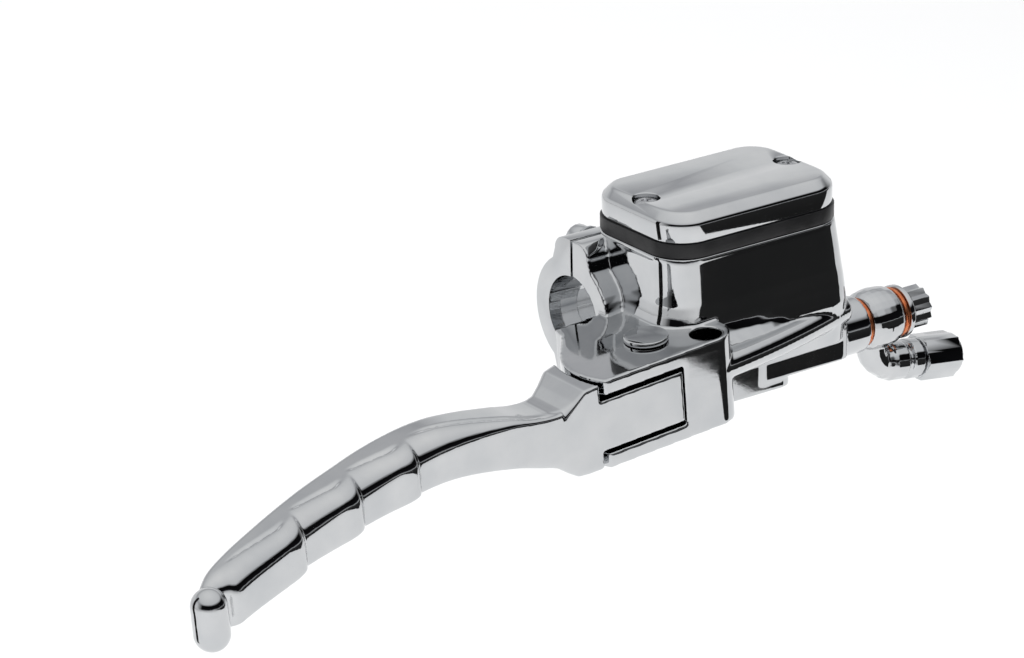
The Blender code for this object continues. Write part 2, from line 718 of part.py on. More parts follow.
def pivot_parts(pin_look, bush_look, washer_look, pivot):
    tail = -PERCH_HALF - PIN_TAIL
    groove = -PERCH_HALF - GAP
    head = PERCH_HALF + GAP
    profile = [
        (0.0, tail),
        (PIN_RADIUS - 0.5, tail),
        (PIN_RADIUS, tail + 0.5),
        (PIN_RADIUS, groove - 1.0),
        (PIN_RADIUS - 0.9, groove - 1.0),
        (PIN_RADIUS - 0.9, groove),
        (PIN_RADIUS, groove),
        (PIN_RADIUS, head),
        (PIN_HEAD_RADIUS, head),
        (PIN_HEAD_RADIUS, head + PIN_HEAD_HEIGHT - 0.3),
        (PIN_HEAD_RADIUS - 0.3, head + PIN_HEAD_HEIGHT),
        (0.0, head + PIN_HEAD_HEIGHT),
    ]
    add_object("pivot_pin", turned(profile, steps=28), pin_look, pivot)
    spread = ring(PIN_RADIUS - 0.6, 6.6, groove - 0.8, groove - 0.2, steps=28)
    clip = add_object("pivot_clip", spread, pin_look, pivot)
    cut(clip, add_object("clip_mouth", box((-2.6, 0.0, -30), (2.6, 10, 0)), parent=pivot))
    bush = ring(PIN_RADIUS + GAP, BUSH_RADIUS, -TONGUE_HALF + 0.2, TONGUE_HALF - 0.2, steps=28)
    add_object("lever_bushing", bush, bush_look, pivot)
    near = TONGUE_HALF + GAP
    for where, low in (("upper", near), ("lower", -near - 0.9)):
        washer = ring(PIN_RADIUS + GAP, 9.4, low, low + 0.9, steps=24)
        add_object(f"thrust_washer_{where}", washer, washer_look, pivot)


# Cylinder parts -------------------------------------------------------------------------------------

def piston(look):
    profile = [
        (0.0, PISTON_REAR),
        (3.6, PISTON_REAR),
        (4.2, PISTON_REAR + 0.6),
        (4.2, -8.4),
        (3.2, -8.4),
        (3.2, -6.6),
        (4.2, -6.6),
        (4.2, 0.0),
        (PISTON_LAND, 0.0),
        (PISTON_LAND, 2.4),
        (4.5, 2.4),
        (4.5, 6.2),
        (PISTON_LAND, 6.2),
        (PISTON_LAND, 9.0),
        (4.6, 9.8),
        (4.6, 29.2),
        (PISTON_LAND, 30.0),
        (PISTON_LAND, PISTON_FRONT),
        (3.0, PISTON_FRONT),
        (3.0, PISTON_FRONT + 4.6),
        (0.0, PISTON_FRONT + 4.6),
    ]
    add_object("piston", turned(profile, "X", bore_line(), 28), look)


def cylinder_seals(look, boot_look):
    secondary = [(4.8, 2.8), (CUP_RADIUS - 0.6, 2.8), (CUP_RADIUS, 5.6), (CUP_RADIUS - 0.8, 5.8), (4.8, 4.6)]
    add_object("secondary_cup", turned(secondary, "X", bore_line(), 28), look)
    base = PISTON_FRONT + GAP
    primary = [
        (3.3, base),
        (CUP_RADIUS - 0.6, base),
        (CUP_RADIUS, base + 3.4),
        (CUP_RADIUS - 0.9, base + 3.6),
        (3.3, base + 1.8),
    ]
    add_object("primary_cup", turned(primary, "X", bore_line(), 28), look)
    boot = [
        (CUP_RADIUS, -3.6),
        (CUP_RADIUS, -5.4),
        (5.3, -5.4),
        (5.8, -6.1),
        (5.0, -6.7),
        (5.0, -8.1),
        (3.5, -8.1),
        (3.5, -7.3),
        (4.5, -6.9),
        (4.5, -3.6),
    ]
    add_object("dust_boot", turned(boot, "X", bore_line(), 24), boot_look)


def cylinder_stops(look):
    washer = ring(4.5, CUP_RADIUS, -1.5, -0.4, "X", bore_line(), 28)
    add_object("piston_stop_washer", washer, look)
    wire = ring(5.3, BORE_RADIUS + GAP, -3.0, -2.1, "X", bore_line(), 28)
    snap = add_object("piston_snap_ring", wire, look)
    cut(snap, add_object("snap_mouth", box((-6, BORE_Y - 2, BORE_Z - 12), (0, BORE_Y + 2, BORE_Z - 2))))


def return_spring(look):
    """A coil from the primary cup to the blind end of the bore, with its ends closed up."""
    wire = 0.6
    start = PISTON_FRONT + 4.9
    end = BORE_END - GAP - wire
    turns = 6
    per_turn = 12
    coil_radius = 4.6
    curve = bpy.data.curves.new("return_spring", "CURVE")
    curve.dimensions = "3D"
    curve.bevel_depth = wire * MM
    curve.bevel_resolution = 1
    curve.use_fill_caps = True
    curve.materials.append(look)
    spline = curve.splines.new("POLY")
    count = turns * per_turn + 1
    spline.points.add(count - 1)
    for index, point in enumerate(spline.points):
        share = index / (count - 1)
        angle = 2 * pi * turns * share
        place = Vector(bore_line(start + wire + (end - start - wire) * share))
        place += Vector((0.0, coil_radius * cos(angle), coil_radius * sin(angle)))
        point.co = (*(place * MM), 1.0)
    made = bpy.data.objects.new("return_spring", curve)
    bpy.context.scene.collection.objects.link(made)


# Banjo fitting --------------------------------------------------------------------------------------

def banjo_bolt(look):
    """The hollow bolt with a round flange and a fluted twelve-point head."""
    profile = [
        (0.0, PORT_FACE - PORT_DEPTH + 1.0),
        (BOLT_RADIUS, PORT_FACE - PORT_DEPTH + 1.0),
        (BOLT_RADIUS, BOLT_FLANGE),
        (9.0, BOLT_FLANGE),
        (9.0, BOLT_FLANGE + 1.6),
        (7.6, BOLT_FLANGE + 3.2),
        (0.0, BOLT_FLANGE + 3.2),
    ]
    bolt = add_object("banjo_bolt", turned(profile, "X", port_line(), 28), look)
    points = 24
    flutes = []
    for index in range(points):
        angle = 2 * pi * (index + 0.25) / points
        radius = 7.2 if index % 2 else 6.3
        flutes.append((BORE_Y + radius * cos(angle), PORT_Z + radius * sin(angle)))
    head = add_object("bolt_head", prism(flutes, BOLT_FLANGE + 2.0, BOLT_FLANGE + 10.4, "X"))
    channel = rod(1.6, PORT_FACE - PORT_DEPTH - 2, (EYE_START + EYE_END) / 2 + 2, "X", port_line(), 14)
    cross = rod(1.4, -12, 12, "Z", ((EYE_START + EYE_END) / 2, BORE_Y, PORT_Z), 12)
    join(bolt, head)
    cut(bolt, add_object("bolt_channel", channel), add_object("bolt_cross_hole", cross))


def banjo_washers(look):
    for where, at in (("inner", PORT_FACE + GAP), ("outer", EYE_END + GAP)):
        washer = ring(BOLT_RADIUS + GAP, 8.6, at, at + WASHER_THICK, "X", port_line(), 28)
        add_object(f"banjo_washer_{where}", washer, look)


def fitting_frame():
    """An empty at the foot of the elbow, with its x axis along the tail of the fitting."""
    return empty("fitting_line", (98.0, BORE_Y, -34.6), TAIL_DROOP)


def elbow_tube():
    """The bent neck from under the eye to the tail, swept as a tube with closed ends."""
    neck = (EYE_START + EYE_END) / 2 - 0.8
    steps = 6
    bend = 7.2
    low = -34.4
    centre = (neck + bend, low + bend)
    path = [(neck, PORT_Z - 4.0)]
    path += arc(centre, bend, 180, 270, steps)
    path += [(centre[0] + 4.0, low - 0.56)]
    rings = []
    for index, (x, z) in enumerate(path):
        before = path[max(0, index - 1)]
        after = path[min(len(path) - 1, index + 1)]
        length = hypot(after[0] - before[0], after[1] - before[1])
        normal = (-(after[1] - before[1]) / length, (after[0] - before[0]) / length)
        points = []
        for across, along in arc((0, 0), ELBOW_RADIUS, 0, 360 - 360 / 14, 13):
            points.append((x + normal[0] * across, BORE_Y + along, z + normal[1] * across))
        rings.append(points)
    return loft(rings)


def banjo_fitting(look, line):
    eye_profile = [(0.0, EYE_START), (8.6, EYE_START)]
    middle = (EYE_START + EYE_END) / 2
    half = EYE_WIDTH / 2
    for share in (-0.75, -0.4, 0.0, 0.4, 0.75):
        station = middle + share * half
        eye_profile.append((sqrt(EYE_RADIUS**2 - (share * half * 0.72) ** 2), station))
    eye_profile += [(8.6, EYE_END), (0.0, EYE_END)]
    fitting = add_object("banjo_fitting", turned(eye_profile, "X", port_line(), 28), look)
    tail_profile = [
        (0.0, -6.0),
        (5.6, -6.0),
        (5.9, -4.0),
        (6.6, -3.0),
        (6.6, 2.0),
        (5.4, 2.6),
        (5.4, 3.8),
        (6.8, 4.4),
        (6.8, 8.6),
        (4.0, 9.2),
        (4.0, 14.0),
        (0.0, 14.0),
    ]
    tail = add_object("fitting_tail", turned(tail_profile, "X", steps=20), parent=line)
    join(fitting, add_object("fitting_elbow", elbow_tube()), tail)
    hole = rod(BOLT_RADIUS + GAP, EYE_START - 5, EYE_END + 5, "X", port_line(), 24)
    cut(fitting, add_object("eye_hole", hole))
    cut(fitting, add_object("tail_drill", rod(1.6, 4.0, 25, "X", steps=14), parent=line))


def hose_nut(look, line):
    """The hexagon union nut on the tail, open towards the hose."""
    flats = [(8.0 * cos(pi * k / 3), 8.0 * sin(pi * k / 3)) for k in range(6)]
    nut = add_object("hose_nut", prism(flats, 9.6, 24.0, "X"), look, line)
    collar = ring(4.3, 7.0, 9.3, 24.6, "X", steps=24)
    join(nut, add_object("nut_collar", collar, parent=line))
    cut(nut, add_object("nut_bore", rod(4.3, 0, 40, "X", steps=24), parent=line))


def main():
    clear_scene()
    chrome = material("chrome_plate", CHROME, 0.08, 1.0)
    lever_chrome = material("lever_chrome", CHROME, 0.10, 1.0)
    zinc = material("zinc_steel", STEEL, 0.35, 1.0)
    stainless = material("stainless", STEEL, 0.30, 1.0)
    rubber = material("black_rubber", BLACK, 0.55, 0.0)
    copper = material("copper", COPPER, 0.35, 1.0)
    bronze = material("bronze", BRONZE, 0.40, 1.0)
    alloy = material("bare_alloy", ALUMINIUM, 0.35, 1.0)
    plastic = material("black_plastic", BLACK, 0.45, 0.0)
    window = material("clear_window", AMBER, 0.08, 0.0)
    lean = empty("lever_plane", PIVOT, -PERCH_TILT)
    pivot = empty("lever_pivot", (0, 0, 0))
    pivot.parent = lean
    cylinder_body(chrome, lean)
    handlebar_clamp(chrome)
    clamp_fasteners(chrome, zinc)
    reservoir_cover(chrome)
    cover_screws(stainless)
    diaphragm(rubber)
    diaphragm_plate(plastic)
    splash_plate(stainless)
    sight_glass(window, rubber)
    brake_lever(lever_chrome, pivot)
    pivot_parts(chrome, bronze, plastic, pivot)
    piston(alloy)
    cylinder_seals(rubber, rubber)
    cylinder_stops(zinc)
    return_spring(stainless)
    banjo_bolt(chrome)
    banjo_washers(copper)
    line = fitting_frame()
    banjo_fitting(chrome, line)
    hose_nut(chrome, line)


main()
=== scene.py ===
"""Looks for a chromed motorcycle brake master cylinder, built round its CAD frame.

The frame is in metres: +X runs along the handlebar towards the middle of the motorcycle, +Y towards the
rider and +Z up, with the origin on the bar's axis in the middle of the clamp. Sizes written here are in
millimetres and are turned to metres where they are used.
"""

import json
from math import cos, pi, radians, sin

import bmesh
import bpy
from mathutils import Matrix, Vector


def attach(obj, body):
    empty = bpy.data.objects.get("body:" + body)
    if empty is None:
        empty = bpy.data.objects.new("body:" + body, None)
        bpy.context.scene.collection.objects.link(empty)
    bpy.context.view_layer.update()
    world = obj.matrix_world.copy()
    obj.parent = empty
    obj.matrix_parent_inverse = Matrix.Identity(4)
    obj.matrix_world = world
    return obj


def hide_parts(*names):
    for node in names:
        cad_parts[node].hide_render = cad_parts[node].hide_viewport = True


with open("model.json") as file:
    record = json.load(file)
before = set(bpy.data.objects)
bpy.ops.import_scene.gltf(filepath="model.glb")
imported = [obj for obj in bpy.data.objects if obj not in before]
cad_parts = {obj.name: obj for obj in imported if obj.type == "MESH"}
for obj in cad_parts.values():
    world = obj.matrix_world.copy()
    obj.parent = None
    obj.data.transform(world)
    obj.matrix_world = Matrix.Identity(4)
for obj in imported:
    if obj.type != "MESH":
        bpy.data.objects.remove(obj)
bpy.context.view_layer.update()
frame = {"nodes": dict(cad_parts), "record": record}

MM = 0.001
BODIES = frame["record"]["behaviour"]["bodies"]

# The lever's plane leans down outboard by this angle, about the pivot.
PIVOT = Vector((-13.9, -42.0, -10.0)) * MM
LEAN = Matrix.Translation(PIVOT) @ Matrix.Rotation(radians(-4.0), 4, "Y")

# Points nearer together than this are one point.
WELD = 0.002 * MM


# Small tools ----------------------------------------------------------------------------------------


def select_only(piece):
    bpy.ops.object.select_all(action="DESELECT")
    piece.select_set(True)
    bpy.context.view_layer.objects.active = piece


def name_it(name):
    """The object that an operator has just made, renamed."""
    piece = bpy.context.object
    piece.name = name
    piece.data.name = name
    return piece


def fix_place(piece, frame_matrix=None):
    """Bakes the object's place into its mesh, after moving it into another frame if one is given."""
    select_only(piece)
    if frame_matrix is not None:
        piece.matrix_world = frame_matrix @ piece.matrix_world
        bpy.context.view_layer.update()
    bpy.ops.object.transform_apply(location=True, rotation=True, scale=True)
    return piece


def apply_modifier(piece, kind, **settings):
    select_only(piece)
    modifier = piece.modifiers.new(kind.title(), kind)
    for key, value in settings.items():
        setattr(modifier, key, value)
    bpy.ops.object.modifier_apply(modifier=modifier.name)
    return piece


def combine(piece, *tools, operation="DIFFERENCE"):
    """Cuts or joins other solids and deletes them."""
    for tool in tools:
        apply_modifier(piece, "BOOLEAN", object=tool, operation=operation, solver="EXACT")
        bpy.data.objects.remove(tool, do_unlink=True)
    return piece


def in_edit(piece, mode, wanted):
    """Edit mode with only the wanted vertices, edges or faces selected; wanted tests one of them."""
    select_only(piece)
    bpy.ops.object.mode_set(mode="EDIT")
    bpy.ops.mesh.select_mode(type=mode)
    bpy.ops.mesh.select_all(action="DESELECT")
    bm = bmesh.from_edit_mesh(piece.data)
    parts = {"VERT": bm.verts, "EDGE": bm.edges, "FACE": bm.faces}[mode]
    for part in parts:
        if wanted(part):
            part.select_set(True)
    bm.select_flush_mode()
    bmesh.update_edit_mesh(piece.data)


def out_of_edit():
    """Back to Object mode."""
    bpy.ops.object.mode_set(mode="OBJECT")


def block(name, low, high):
    """A box from corner to corner."""
    middle = [(a + b) / 2 * MM for a, b in zip(low, high)]
    bpy.ops.object.select_all(action="DESELECT")
    bpy.ops.mesh.primitive_cube_add(size=1.0, location=middle)
    piece = name_it(name)
    piece.scale = [(b - a) * MM for a, b in zip(low, high)]
    return fix_place(piece)


def bevel_edges(piece, wanted, width, segments, profile=0.5):
    in_edit(piece, "EDGE", wanted)
    bpy.ops.mesh.bevel(offset=width * MM, segments=segments, profile=profile, affect="EDGES")
    out_of_edit()
    return piece


def upright(edge):
    """Whether an edge runs along Z."""
    run = edge.verts[1].co - edge.verts[0].co
    return abs(run.z) > 0.99 * run.length


def spun(name, profile, steps=64, matrix=None):
    """A profile of (radius, station) in millimetres spun about Z, then placed by a matrix."""
    bpy.ops.object.select_all(action="DESELECT")
    bpy.ops.mesh.primitive_plane_add(size=1.0)
    piece = name_it(name)
    bm = bmesh.new()
    line = [bm.verts.new((radius * MM, 0.0, station * MM)) for radius, station in profile]
    for pair in zip(line, line[1:]):
        bm.edges.new(pair)
    if profile[0][0] > 0.0:
        bm.edges.new((line[-1], line[0]))
    bm.to_mesh(piece.data)
    bm.free()
    select_only(piece)
    bpy.ops.object.mode_set(mode="EDIT")
    bpy.ops.mesh.select_all(action="SELECT")
    bpy.ops.mesh.spin(steps=steps, angle=2 * pi, center=(0, 0, 0), axis=(0, 0, 1))
    bpy.ops.mesh.select_all(action="SELECT")
    bpy.ops.mesh.remove_doubles(threshold=WELD)
    bpy.ops.mesh.normals_make_consistent(inside=False)
    bpy.ops.object.mode_set(mode="OBJECT")
    return fix_place(piece, matrix)


def cad_copy(node, name):
    """A copy of a CAD solid, its triangles merged into one skin and its flat faces made whole."""
    source = frame["nodes"][node]
    piece = bpy.data.objects.new(name, source.data.copy())
    bpy.context.scene.collection.objects.link(piece)
    piece.data.materials.clear()
    select_only(piece)
    bpy.ops.object.mode_set(mode="EDIT")
    bpy.ops.mesh.select_all(action="SELECT")
    bpy.ops.mesh.remove_doubles(threshold=WELD)
    bpy.ops.mesh.customdata_custom_splitnormals_clear()
    bpy.ops.mesh.dissolve_limited(angle_limit=radians(0.6))
    bpy.ops.object.mode_set(mode="OBJECT")
    return piece


def smooth_by_angle(piece, degrees=35.0):
    select_only(piece)
    bpy.ops.object.shade_smooth_by_angle(angle=radians(degrees))
    return piece


def eased(piece, width, segments=2, degrees=32.0):
    """Small rounded edges, as on any cast, turned or moulded thing."""
    apply_modifier(
        piece,
        "BEVEL",
        width=width * MM,
        segments=segments,
        limit_method="ANGLE",
        angle_limit=radians(degrees),
        harden_normals=False,
        use_clamp_overlap=True,
    )
    return smooth_by_angle(piece)


def skinned(piece, voxel, passes):
    """One continuous skin over joined solids, its edges melted together as in a polished casting."""
    select_only(piece)
    piece.data.remesh_voxel_size = voxel * MM
    piece.data.use_remesh_fix_poles = False
    piece.data.use_remesh_preserve_volume = False
    bpy.ops.object.voxel_remesh()
    apply_modifier(piece, "SMOOTH", factor=0.5, iterations=passes)
    select_only(piece)
    bpy.ops.object.shade_smooth()
    return piece


def dress(piece, look, slot, body, *nodes):
    """Gives a finished piece its material and body, and hides the CAD solids that it stands for."""
    piece.data.materials.clear()
    piece.data.materials.append(look)
    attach(piece, body)
    if nodes:
        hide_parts(*nodes)
    return piece


# Materials ------------------------------------------------------------------------------------------


def srgb(code):
    """A hex colour as linear RGBA."""
    levels = [int(code[i : i + 2], 16) / 255 for i in (1, 3, 5)]
    return (*[v / 12.92 if v <= 0.04045 else ((v + 0.055) / 1.055) ** 2.4 for v in levels], 1.0)


def add_node(tree, kind, settings=None, links=None):
    """A node with its settings and links. A link is (socket to fill, node, socket to read)."""
    made = tree.nodes.new(kind)
    for key, value in (settings or {}).items():
        if isinstance(key, int) or key in made.inputs.keys():
            made.inputs[key].default_value = value
        else:
            setattr(made, key, value)
    for socket, source, output in links or ():
        tree.links.new(source.outputs[output], made.inputs[socket])
    return made


def new_material(name, metallic, roughness, colour, **sockets):
    """A Principled material with its plain values set, then its tree, shader and coordinate node."""
    made = bpy.data.materials.new(name)
    made.use_nodes = True
    tree = made.node_tree
    shader = tree.nodes["Principled BSDF"]
    shader.inputs["Base Color"].default_value = srgb(colour)
    shader.inputs["Metallic"].default_value = metallic
    shader.inputs["Roughness"].default_value = roughness
    for key, value in sockets.items():
        shader.inputs[key.replace("_", " ")].default_value = value
    return made, tree, shader, add_node(tree, "ShaderNodeTexCoord")


def noise(tree, coords, size, detail=2.0, stretch=(1.0, 1.0, 1.0)):
    """Noise whose lumps are about size millimetres across; stretch below 1 draws them out along an axis."""
    mapped = add_node(tree, "ShaderNodeMapping", {"Scale": stretch}, [("Vector", coords, "Object")])
    return add_node(
        tree,
        "ShaderNodeTexNoise",
        {"Scale": 1.0 / (size * MM), "Detail": detail, "Roughness": 0.55},
        [("Vector", mapped, "Vector")],
    )


def ranged(tree, source, output, low, high, start=0.3, end=0.7):
    """Turns a value between start and end into one between low and high."""
    return add_node(
        tree,
        "ShaderNodeMapRange",
        {"From Min": start, "From Max": end, "To Min": low, "To Max": high},
        [("Value", source, output)],
    )


def tinted(tree, source, output, *stops):
    """A colour ramp through (place, hex colour) stops."""
    ramp = add_node(tree, "ShaderNodeValToRGB", None, [("Fac", source, output)])
    elements = ramp.color_ramp.elements
    while len(elements) < len(stops):
        elements.new(0.5)
    for element, (place, code) in zip(elements, stops):
        element.position = place
        element.color = srgb(code)
    return ramp


def bumped(tree, shader, *layers):
    """Bump layers of (node, output, depth in millimetres) stacked on the shader's normal."""
    before = None
    for source, output, depth in layers:
        links = [("Height", source, output)]
        if before is not None:
            links.append(("Normal", before, "Normal"))
        before = add_node(tree, "ShaderNodeBump", {"Strength": 1.0, "Distance": depth * MM}, links)
    tree.links.new(before.outputs["Normal"], shader.inputs["Normal"])


def chrome_plate(name, haze, swell_depth):
    """Decorative chrome over polished zinc: a neutral mirror, a little wavy where the buffing wheel dwelt,
    with faint cloudy patches of polishing haze and hairline wiping scratches."""
    made, tree, shader, coords = new_material(name, 1.0, haze, "#C3C5C6")
    cloud = noise(tree, coords, 14.0, 3.0)
    wipe = noise(tree, coords, 2.4, 4.0, (0.16, 1.0, 1.0))
    mixed = add_node(
        tree,
        "ShaderNodeMath",
        {"operation": "MULTIPLY"},
        [(0, cloud, "Fac"), (1, wipe, "Fac")],
    )
    rough = ranged(tree, mixed, "Value", haze * 0.6, haze * 2.2, 0.12, 0.42)
    tree.links.new(rough.outputs["Result"], shader.inputs["Roughness"])
    tone = tinted(tree, cloud, "Fac", (0.3, "#BDBFC1"), (0.7, "#C8C9CA"))
    tree.links.new(tone.outputs["Color"], shader.inputs["Base Color"])
    swell = noise(tree, coords, 16.0, 1.0)
    peel = noise(tree, coords, 1.1, 2.0)
    bumped(tree, shader, (swell, "Fac", swell_depth), (peel, "Fac", 0.0022))
    return made


def turned_steel(name, colour, dark, roughness):
    """Machined steel: fine tool lines round the axis, a touch darker in random patches."""
    made, tree, shader, coords = new_material(name, 1.0, roughness, colour)
    lines = noise(tree, coords, 0.5, 2.0, (1.0, 0.12, 0.12))
    patches = noise(tree, coords, 5.0, 3.0)
    tone = tinted(tree, patches, "Fac", (0.3, dark), (0.65, colour))
    tree.links.new(tone.outputs["Color"], shader.inputs["Base Color"])
    rough = ranged(tree, lines, "Fac", roughness * 0.7, roughness * 1.4)
    tree.links.new(rough.outputs["Result"], shader.inputs["Roughness"])
    bumped(tree, shader, (lines, "Fac", 0.01))
    return made


def annealed_copper():
    """Soft crush washers: warm orange copper, satin from its bath, browner where it has begun to tarnish."""
    made, tree, shader, coords = new_material("annealed_copper_satin", 1.0, 0.28, "#D9825A")
    tarnish = noise(tree, coords, 3.0, 4.0)
    grain = noise(tree, coords, 0.35, 2.0)
    tone = tinted(tree, tarnish, "Fac", (0.3, "#B4562F"), (0.55, "#D98257"), (0.8, "#E89B70"))
    tree.links.new(tone.outputs["Color"], shader.inputs["Base Color"])
    rough = ranged(tree, tarnish, "Fac", 0.2, 0.38)
    tree.links.new(rough.outputs["Result"], shader.inputs["Roughness"])
    bumped(tree, shader, (grain, "Fac", 0.008))
    return made


def moulded_rubber():
    """Black EPDM, satin from the mould, with a fine grain and a dusty bloom that greys it in patches."""
    made, tree, shader, coords = new_material("epdm_rubber_moulded", 0.0, 0.5, "#0E0E10")
    bloom = noise(tree, coords, 7.0, 4.0)
    grain = noise(tree, coords, 0.45, 3.0)
    tone = tinted(tree, bloom, "Fac", (0.35, "#0B0B0D"), (0.75, "#1B1B1D"))
    tree.links.new(tone.outputs["Color"], shader.inputs["Base Color"])
    rough = ranged(tree, bloom, "Fac", 0.36, 0.56)
    tree.links.new(rough.outputs["Result"], shader.inputs["Roughness"])
    bumped(tree, shader, (grain, "Fac", 0.03))
    return made


def sintered_bronze():
    """Oil-soaked bearing bronze: brown-gold with dark pores."""
    made, tree, shader, coords = new_material("sintered_bronze_oiled", 1.0, 0.4, "#8C6A3C")
    pores = noise(tree, coords, 0.6, 3.0)
    tone = tinted(tree, pores, "Fac", (0.36, "#4A341C"), (0.5, "#97733F"), (0.8, "#B08B50"))
    tree.links.new(tone.outputs["Color"], shader.inputs["Base Color"])
    bumped(tree, shader, (pores, "Fac", 0.02))
    return made


def moulded_nylon():
    """Black glass-filled nylon: matt, with the spark-eroded texture of its mould."""
    made, tree, shader, coords = new_material("nylon_black_moulded", 0.0, 0.5, "#141416")
    spark = noise(tree, coords, 0.5, 3.0)
    tone = tinted(tree, spark, "Fac", (0.3, "#101012"), (0.8, "#202023"))
    tree.links.new(tone.outputs["Color"], shader.inputs["Base Color"])
    bumped(tree, shader, (spark, "Fac", 0.03))
    return made


def sight_window():
    """Clear polycarbonate with brake fluid behind it: pale amber, a little streaked by moulding flow."""
    made, tree, shader, coords = new_material(
        "polycarbonate_sight_window", 0.0, 0.06, "#E4C27C", Transmission_Weight=0.55, IOR=1.58
    )
    flow = noise(tree, coords, 3.0, 2.0, (1.0, 1.0, 0.3))
    tone = tinted(tree, flow, "Fac", (0.3, "#D9B367"), (0.7, "#EBD196"))
    tree.links.new(tone.outputs["Color"], shader.inputs["Base Color"])
    return made


CHROME = chrome_plate("decorative_chrome_buffed", 0.035, 0.008)
LEVER_CHROME = chrome_plate("lever_chrome_hand_buffed", 0.045, 0.010)
ZINC = turned_steel("zinc_plated_steel", "#B9BBBE", "#8E9094", 0.3)
STAINLESS = turned_steel("stainless_steel_turned", "#C2C3C5", "#9A9B9E", 0.24)
ALLOY = turned_steel("aluminium_alloy_turned", "#CFD1D4", "#AAACB0", 0.26)
COPPER = annealed_copper()
RUBBER = moulded_rubber()
BRONZE = sintered_bronze()
NYLON = moulded_nylon()
WINDOW = sight_window()
LOOKS = {
    "chrome_plate": CHROME,
    "lever_chrome": LEVER_CHROME,
    "zinc_steel": ZINC,
    "stainless": STAINLESS,
    "bare_alloy": ALLOY,
    "copper": COPPER,
    "black_rubber": RUBBER,
    "bronze": BRONZE,
    "black_plastic": NYLON,
    "clear_window": WINDOW,
}


def paint_frame():
    """Every CAD solid that still shows gets the finish its slot names."""
    for part in frame["record"]["subparts"]:
        node = frame["nodes"][part["node"]]
        node.data.materials.clear()
        node.data.materials.append(LOOKS[part["material_slot"]])


# Casting --------------------------------------------------------------------------------------------


def casting():
    """Tub, perch, mirror boss, barrel and front clamp as one polished casting with melted edges."""
    body = cad_copy("cylinder_body", "master_cylinder_casting")
    return dress(skinned(body, 0.5, 5), CHROME, "chrome_plate", "perch", "cylinder_body")


def clamp_half():
    """The clamp's back half, its edges rounded by the buffing wheel."""
    clamp = eased(cad_copy("handlebar_clamp", "handlebar_clamp_shell"), 1.0, 3)
    return dress(clamp, CHROME, "chrome_plate", "perch", "handlebar_clamp")


# Reservoir ------------------------------------------------------------------------------------------

COVER_CENTRE = (29.7, -20.9)
COVER_HALF = (34.7, 23.2)
COVER_CORNER = 12.0
COVER_LOW, COVER_TOP = 33.3, 42.5
WELL_LOW, WELL_HIGH = (6.0, -40.5), (54.0, -5.2)
COVER_CHAMFER = 3.0
SCREW_SPREAD = 28.4
SCREW_PLACES = [(COVER_CENTRE[0] + side * SCREW_SPREAD, COVER_CENTRE[1]) for side in (-1, 1)]
# Height of the middle of a screw's cross recess.
CROSS_HEIGHT = 41.1


def cover():
    """The polished lid: a rounded block with a softened chamfer, hollow below, and two counterbores."""
    low = [c - h for c, h in zip(COVER_CENTRE, COVER_HALF)] + [COVER_LOW]
    high = [c + h for c, h in zip(COVER_CENTRE, COVER_HALF)] + [COVER_TOP]
    lid = block("reservoir_lid", low, high)
    bevel_edges(lid, upright, COVER_CORNER, 20)
    top = COVER_TOP * MM

    def rim(edge):
        return all(v.co.z > top - 1e-6 for v in edge.verts)

    bevel_edges(lid, rim, COVER_CHAMFER, 1)

    def shoulder(edge):
        heights = [v.co.z for v in edge.verts]
        level = abs(heights[0] - heights[1]) < 1e-6
        return level and heights[0] > top - (COVER_CHAMFER + 0.1) * MM

    bevel_edges(lid, shoulder, 0.9, 4)
    recess = block("lid_recess", (*WELL_LOW, COVER_LOW - 5), (*WELL_HIGH, COVER_TOP - 4.4))
    bevel_edges(recess, upright, 6.0, 6)
    tools = [recess]
    for place in SCREW_PLACES:
        at = Matrix.Translation(Vector((*place, 0)) * MM)
        profile = [(0, 30), (2.7, 30), (2.7, 39.1), (4.0, 39.1), (4.5, 39.6)]
        profile += [(4.5, 42.2), (5.0, 42.9), (5.0, 50), (0, 50)]
        tools.append(spun("lid_counterbore", profile, 48, at))
    combine(lid, *tools)
    eased(lid, 0.25, 2, 40.0)
    return dress(lid, CHROME, "chrome_plate", "perch", "reservoir_cover")


def cover_screw(where, place):
    """A pan screw with a cross recess, its point tapering in."""
    at = Matrix.Translation(Vector((*place, 0)) * MM)
    profile = [(0, 15), (1.9, 15), (2.4, 15.6), (2.4, 39.4), (4.0, 39.4), (4.1, 39.6)]
    profile += [(4.1, 40.4), (3.8, 41.0), (3.0, 41.5), (1.8, 41.75), (0, 41.8)]
    screw = spun(f"lid_screw_{where}", profile, 40, at)
    recess_at = (*[c * MM for c in place], CROSS_HEIGHT * MM)
    for turn in (20.0, 110.0):
        bpy.ops.object.select_all(action="DESELECT")
        bpy.ops.mesh.primitive_cone_add(
            vertices=4,
            radius1=0.6 * MM,
            radius2=3.0 * MM,
            depth=2.6 * MM,
            location=recess_at,
            rotation=(0, 0, radians(45.0)),
        )
        wing = name_it("cross_recess")
        fix_place(wing)
        in_edit(wing, "VERT", lambda vert: True)
        bpy.ops.transform.resize(value=(1.0, 0.3, 1.0), center_override=recess_at)
        bpy.ops.transform.rotate(value=radians(turn), orient_axis="Z", center_override=recess_at)
        out_of_edit()
        combine(screw, wing)
    smooth_by_angle(screw, 30.0)
    return dress(screw, STAINLESS, "stainless", "perch", f"cover_screw_{where}")


def rim_rubber():
    """The diaphragm: its rim is the soft-edged black band between cover and tub."""
    rubber = eased(cad_copy("reservoir_diaphragm", "diaphragm_rubber"), 0.5, 3)
    return dress(rubber, RUBBER, "black_rubber", "perch", "reservoir_diaphragm")


# Lever ----------------------------------------------------------------------------------------------

